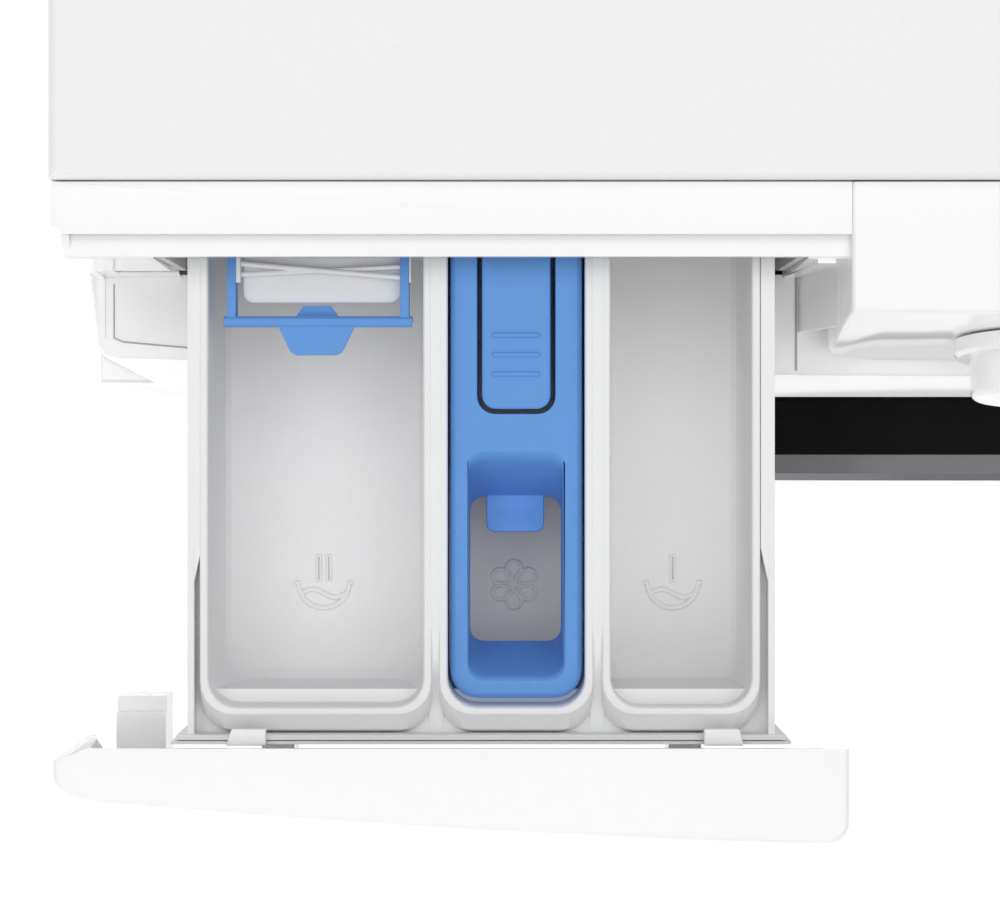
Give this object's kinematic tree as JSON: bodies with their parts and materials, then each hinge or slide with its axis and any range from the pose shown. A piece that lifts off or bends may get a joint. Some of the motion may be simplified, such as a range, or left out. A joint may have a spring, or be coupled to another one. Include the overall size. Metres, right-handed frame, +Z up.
{
  "type": "front load washing machine",
  "caption": "Free-standing front load washing machine with its detergent drawer drawn out, a round door on the left hinge, a sprung tub and a belt-driven drum.",
  "frame": {"origin": "on the floor, under the middle of the machine's outline with the detergent drawer drawn out", "axes": "+X to the machine's right as seen from the front, +Y to the rear, +Z up; the front faces -Y"},
  "size_m": [0.6, 0.6872, 0.85],
  "materials": {
    "white_enamel": "white enamelled sheet steel, satin gloss",
    "worktop_white": "white laminated board, satin",
    "fascia_white": "white ABS, gloss",
    "tray_white": "off-white polypropylene, fine satin",
    "insert_blue": "blue moulded plastic, satin gloss",
    "housing_grey": "grey polypropylene, matt",
    "door_black": "black ABS, gloss",
    "ring_grey": "silver-grey lacquered ABS, satin",
    "cover_smoke": "smoked clear acrylic, gloss",
    "bowl_glass": "clear pressed glass",
    "window_smoke": "smoked black acrylic, gloss",
    "seal_rubber": "grey EPDM rubber, matt",
    "hose_rubber": "black EPDM rubber, matt",
    "belt_rubber": "black ribbed rubber",
    "tub_plastic": "glass-filled polypropylene, matt",
    "zinc_steel": "galvanised steel",
    "stainless": "stainless steel, brushed",
    "cast_weight": "rough cast iron",
    "cast_aluminium": "die-cast aluminium",
    "motor_steel": "pressed steel shell",
    "board_green": "printed circuit board, green resist",
    "foot_black": "black polyamide, matt"
  },
  "bodies": {
    "cabinet": {"side_panels": "white_enamel", "front_panel": "white_enamel", "kick_panel": "white_enamel", "rear_panel": "zinc_steel", "rear_cover": "zinc_steel", "base_frame": "zinc_steel", "feet": "foot_black", "foot_nuts": "zinc_steel", "worktop": "worktop_white", "top_rails": "zinc_steel", "control_fascia": "fascia_white", "display_window": "window_smoke", "control_board": "board_green", "dispenser_housing": "housing_grey", "hinge_bracket": "zinc_steel", "hinge_pin": "stainless", "door_lock": "foot_black", "door_seal": "seal_rubber", "damper_cylinders": "housing_grey", "inlet_valve": "fascia_white", "inner_hoses": "hose_rubber", "tub_hoses": "hose_rubber", "drain_pump": "housing_grey", "drain_spigot": "housing_grey", "cable_gland": "foot_black"},
    "program_knob": {"program_knob": "fascia_white"},
    "temperature_key": {"temperature_key": "fascia_white"},
    "spin_key": {"spin_key": "fascia_white"},
    "start_button": {"start_button": "ring_grey"},
    "drawer": {"drawer_tray": "tray_white", "drawer_front": "fascia_white", "front_clips": "fascia_white", "siphon_insert": "insert_blue"},
    "release_tongue": {"release_tongue": "insert_blue"},
    "liquid_flap": {"liquid_flap": "insert_blue"},
    "door": {"door_frame": "door_black", "door_ring": "ring_grey", "door_cover": "cover_smoke", "door_glass": "bowl_glass", "hinge_arm": "cast_aluminium"},
    "door_handle": {"door_handle": "ring_grey"},
    "latch_hook": {"latch_hook": "stainless"},
    "tub": {"tub_front": "tub_plastic", "tub_rear": "tub_plastic", "front_counterweight": "cast_weight", "top_counterweight": "cast_weight", "drum_bearings": "stainless", "shaft_seal": "hose_rubber", "heater": "stainless", "motor_body": "motor_steel", "suspension_springs": "motor_steel", "damper_rods": "zinc_steel", "drive_belt": "belt_rubber"},
    "drum": {"drum_shell": "stainless", "drum_shaft": "cast_aluminium", "drum_lifters": "tub_plastic", "drum_pulley": "cast_aluminium"},
    "motor_shaft": {"motor_pulley": "motor_steel"},
    "filter_cap": {"filter_cap": "housing_grey"},
    "filter_flap": {"filter_flap": "fascia_white"}
  },
  "joints": [
    {"name": "drawer_slide", "type": "slide", "parent": "cabinet", "child": "drawer", "axis": [0, 1, 0], "range_m": [0, 0.158]},
    {"name": "tongue_press", "type": "hinge", "parent": "drawer", "child": "release_tongue", "pos_m": [-0.162, -0.15572, 0.823], "axis": [1, 0, 0], "range_deg": [0, 5], "stiffness_Nm_per_rad": 0.4},
    {"name": "flap_swing", "type": "hinge", "parent": "drawer", "child": "liquid_flap", "pos_m": [-0.22245, -0.11902, 0.816], "axis": [1, 0, 0], "range_deg": [0, 45]},
    {"name": "door_swing", "type": "hinge", "parent": "cabinet", "child": "door", "pos_m": [-0.232, -0.21642, 0.435], "axis": [0, 0, -1], "range_deg": [0, 130]},
    {"name": "handle_pull", "type": "hinge", "parent": "door", "child": "door_handle", "pos_m": [0.2095, -0.22292, 0.435], "axis": [0, 0, -1], "range_deg": [0, 20], "stiffness_Nm_per_rad": 0.3},
    {"name": "latch_turn", "type": "hinge", "parent": "door", "child": "latch_hook", "pos_m": [0.2, -0.20242, 0.435], "axis": [0, 0, -1], "range_deg": [0, 8]},
    {"name": "tub_bounce", "type": "slide", "parent": "cabinet", "child": "tub", "axis": [0, 0, 1], "range_m": [-0.006, 0.006], "stiffness_N_per_m": 12000, "springref_m": 0.04102, "deforming": ["suspension_springs", "tub_hoses", "door_seal"]},
    {"name": "drum_spin", "type": "hinge", "parent": "tub", "child": "drum", "pos_m": [0, 0.06758, 0.435], "axis": [0, -1, 0], "continuous": true},
    {"name": "motor_spin", "type": "hinge", "parent": "tub", "child": "motor_shaft", "pos_m": [0.095, 0.21758, 0.125], "axis": [0, -1, 0], "continuous": true},
    {"name": "knob_turn", "type": "hinge", "parent": "cabinet", "child": "program_knob", "pos_m": [0, -0.18027, 0.795], "axis": [0, -0.9924, 0.123], "continuous": true},
    {"name": "temperature_press", "type": "slide", "parent": "cabinet", "child": "temperature_key", "axis": [0, 1, 0], "range_m": [0, 0.0015], "stiffness_N_per_m": 400},
    {"name": "spin_press", "type": "slide", "parent": "cabinet", "child": "spin_key", "axis": [0, 1, 0], "range_m": [0, 0.0015], "stiffness_N_per_m": 400},
    {"name": "start_press", "type": "slide", "parent": "cabinet", "child": "start_button", "axis": [0, 1, 0], "range_m": [0, 0.0015], "stiffness_N_per_m": 400},
    {"name": "filter_cap_turn", "type": "hinge", "parent": "cabinet", "child": "filter_cap", "pos_m": [0.225, -0.18442, 0.062], "axis": [0, -1, 0], "range_deg": [0, 90]},
    {"name": "filter_flap_swing", "type": "hinge", "parent": "cabinet", "child": "filter_flap", "pos_m": [0.225, -0.19242, 0.0305], "axis": [1, 0, 0], "range_deg": [0, 90]}
  ],
  "couplings": [
    {"joint": "latch_turn", "follows": "handle_pull", "ratio": 0.35},
    {"joint": "motor_spin", "follows": "drum_spin", "ratio": 14}
  ]
}
